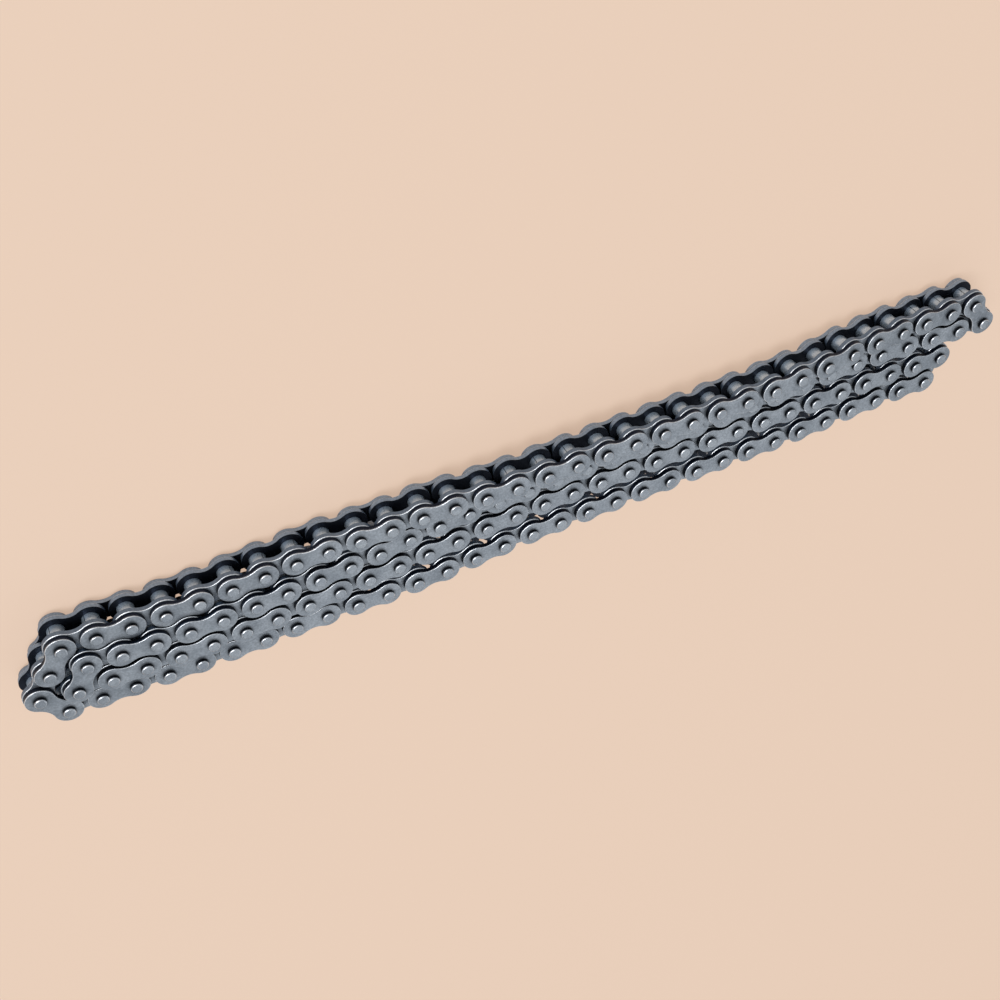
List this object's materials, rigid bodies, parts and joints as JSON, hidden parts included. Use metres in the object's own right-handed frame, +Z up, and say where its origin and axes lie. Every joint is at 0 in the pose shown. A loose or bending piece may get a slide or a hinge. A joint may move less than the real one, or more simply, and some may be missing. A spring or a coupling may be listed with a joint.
{
  "type": "timing chain",
  "caption": "Endless steel bush timing chain for an engine's camshaft drive, folded into nested rows, with riveted pins and curled bushes.",
  "frame": {"origin": "bottom centre of the folded chain, on the surface that the pin ends stand on", "axes": "+X along the rows, towards their right end; +Y towards row one, the upper row in the picture; +Z up, along the pins"},
  "size_m": [0.2128, 0.0258, 0.012],
  "materials": {
    "plate_steel": "satin, bright on the stamped edges",
    "pin_steel": "ground, satin, rounded rivet ends",
    "bush_steel": "curled strip, satin"
  },
  "bodies": {
    "row_three": {"row_three_outer_plates": "plate_steel", "row_three_inner_plates": "plate_steel", "row_three_pins": "pin_steel", "row_three_bushes": "bush_steel"},
    "row_four_turn_link": {"row_four_turn_link_plates": "plate_steel", "row_four_turn_link_bushes": "bush_steel"},
    "row_four_right": {"row_four_right_outer_plates": "plate_steel", "row_four_right_inner_plates": "plate_steel", "row_four_right_pins": "pin_steel", "row_four_right_bushes": "bush_steel"},
    "row_four_middle": {"row_four_middle_outer_plates": "plate_steel", "row_four_middle_inner_plates": "plate_steel", "row_four_middle_pins": "pin_steel", "row_four_middle_bushes": "bush_steel"},
    "row_four_left": {"row_four_left_outer_plates": "plate_steel", "row_four_left_inner_plates": "plate_steel", "row_four_left_pins": "pin_steel", "row_four_left_bushes": "bush_steel"},
    "wrap_link_three": {"wrap_link_three_plates": "plate_steel", "wrap_link_three_pins": "pin_steel"},
    "wrap_link_two": {"wrap_link_two_plates": "plate_steel", "wrap_link_two_bushes": "bush_steel"},
    "wrap_link_one": {"wrap_link_one_plates": "plate_steel", "wrap_link_one_pins": "pin_steel"},
    "row_one_left": {"row_one_left_outer_plates": "plate_steel", "row_one_left_inner_plates": "plate_steel", "row_one_left_pins": "pin_steel", "row_one_left_bushes": "bush_steel"},
    "row_one_middle": {"row_one_middle_outer_plates": "plate_steel", "row_one_middle_inner_plates": "plate_steel", "row_one_middle_pins": "pin_steel", "row_one_middle_bushes": "bush_steel"},
    "row_one_right": {"row_one_right_outer_plates": "plate_steel", "row_one_right_inner_plates": "plate_steel", "row_one_right_pins": "pin_steel", "row_one_right_bushes": "bush_steel"},
    "row_one_turn_link": {"row_one_turn_link_plates": "plate_steel", "row_one_turn_link_pins": "pin_steel"},
    "row_two": {"row_two_outer_plates": "plate_steel", "row_two_inner_plates": "plate_steel", "row_two_pins": "pin_steel", "row_two_bushes": "bush_steel"},
    "fold_link": {"fold_link_plates": "plate_steel", "fold_link_pins": "pin_steel"}
  },
  "joints": [
    {"name": "fold_link_pivot", "type": "hinge", "parent": "row_three", "child": "fold_link", "pos_m": [-0.09646, -0.00316, 0.00568], "axis": [0, 0, 1], "range_deg": [0, 45]},
    {"name": "row_two_pivot", "type": "hinge", "parent": "fold_link", "child": "row_two", "pos_m": [-0.09324, 0.00231, 0.00568], "axis": [0, 0, 1], "range_deg": [0, 45]},
    {"name": "row_one_turn_link_pivot", "type": "hinge", "parent": "row_two", "child": "row_one_turn_link", "pos_m": [0.10342, 0.00384, 0.00526], "axis": [0, 0, -1], "range_deg": [0, 120]},
    {"name": "row_one_right_pivot", "type": "hinge", "parent": "row_one_turn_link", "child": "row_one_right", "pos_m": [0.10031, 0.00938, 0.00526], "axis": [0, 0, -1], "range_deg": [0, 120]},
    {"name": "row_one_middle_pivot", "type": "hinge", "parent": "row_one_right", "child": "row_one_middle", "pos_m": [0.01153, 0.00837, 0.00748], "axis": [0, 0, -1], "range_deg": [0, 60]},
    {"name": "row_one_left_pivot", "type": "hinge", "parent": "row_one_middle", "child": "row_one_left", "pos_m": [-0.07086, 0.00626, 0.0045], "axis": [0, 0, -1], "range_deg": [0, 60]},
    {"name": "wrap_link_one_pivot", "type": "hinge", "parent": "row_one_left", "child": "wrap_link_one", "pos_m": [-0.09622, 0.00739, 0.0045], "axis": [0, 0, -1], "range_deg": [0, 87]},
    {"name": "wrap_link_two_pivot", "type": "hinge", "parent": "wrap_link_one", "child": "wrap_link_two", "pos_m": [-0.09989, 0.00221, 0.0045], "axis": [0, 0, 1], "range_deg": [0, 45]},
    {"name": "row_four_turn_link_pivot", "type": "hinge", "parent": "row_three", "child": "row_four_turn_link", "pos_m": [0.09392, -0.00249, 0.0045], "axis": [0, 0, 1], "range_deg": [0, 120]},
    {"name": "row_four_right_pivot", "type": "hinge", "parent": "row_four_turn_link", "child": "row_four_right", "pos_m": [0.09072, -0.00798, 0.0045], "axis": [0, 0, 1], "range_deg": [0, 120]},
    {"name": "row_four_middle_pivot", "type": "hinge", "parent": "row_four_right", "child": "row_four_middle", "pos_m": [0.02724, -0.00849, 0.0045], "axis": [0, 0, 1], "range_deg": [0, 60]},
    {"name": "row_four_left_pivot", "type": "hinge", "parent": "row_four_middle", "child": "row_four_left", "pos_m": [-0.03622, -0.0099, 0.0045], "axis": [0, 0, 1], "range_deg": [0, 60]},
    {"name": "wrap_link_three_pivot", "type": "hinge", "parent": "row_four_left", "child": "wrap_link_three", "pos_m": [-0.09968, -0.0082, 0.0045], "axis": [0, 0, 1], "range_deg": [0, 86]}
  ],
  "couplings": [
    {"joint": "row_two_pivot", "follows": "fold_link_pivot", "ratio": 1},
    {"joint": "wrap_link_one_pivot", "follows": "fold_link_pivot", "ratio": 1.933},
    {"joint": "wrap_link_two_pivot", "follows": "fold_link_pivot", "ratio": 0.984},
    {"joint": "wrap_link_three_pivot", "follows": "fold_link_pivot", "ratio": 1.897}
  ]
}
